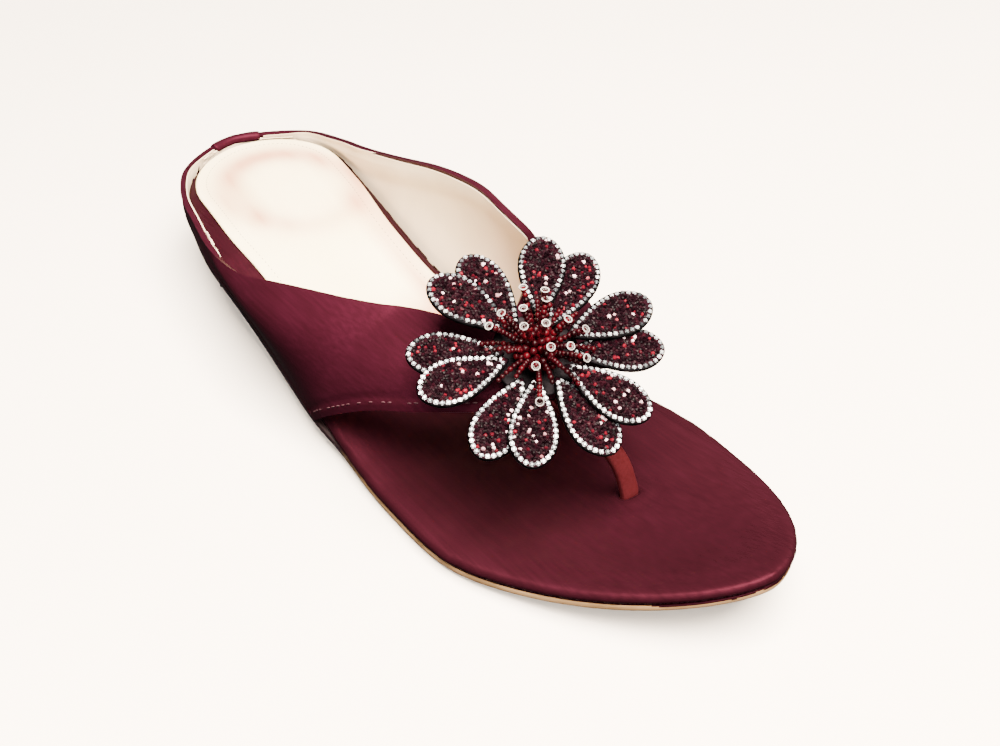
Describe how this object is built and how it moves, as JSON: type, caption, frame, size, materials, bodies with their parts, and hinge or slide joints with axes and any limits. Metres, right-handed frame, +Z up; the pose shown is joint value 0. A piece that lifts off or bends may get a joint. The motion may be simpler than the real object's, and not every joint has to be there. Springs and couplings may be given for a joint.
{
  "type": "toe post sandal",
  "caption": "Right toe post sandal: satin band from a low heel over the instep, a toe post, a beaded flower, a padded footbed and a thin outsole on a low heel.",
  "frame": {"origin": "on the underside of the heel's top lift, on the floor, under the middle of the heel", "axes": "+X towards the toe, +Y towards the big toe's side, +Z up"},
  "size_m": [0.2641, 0.0905, 0.0627],
  "materials": {
    "outsole": "smooth tan leather board edge with a gold tint",
    "satin": "wine red satin",
    "sock": "cream lining material",
    "top_lift": "matte dark rubber",
    "post": "brick red satin strap",
    "backing": "dark gunmetal",
    "crystal": "dark red crushed crystal set in resin with clear stones round the edge"
  },
  "bodies": {
    "root": {"outsole": "outsole", "footbed": "satin", "heel_sock": "sock", "upper": "satin", "heel_block": "satin", "top_lift": "top_lift", "back_tab": "satin", "toe_post": "post", "flower_backing": "backing", "flower_centre": "crystal", "petal_low_1": "crystal", "petal_low_2": "crystal", "petal_low_3": "crystal", "petal_low_4": "crystal", "petal_low_5": "crystal", "petal_low_6": "crystal", "petal_top_1": "crystal", "petal_top_2": "crystal", "petal_top_3": "crystal", "petal_top_4": "crystal", "petal_top_5": "crystal", "petal_top_6": "crystal"}
  },
  "joints": []
}
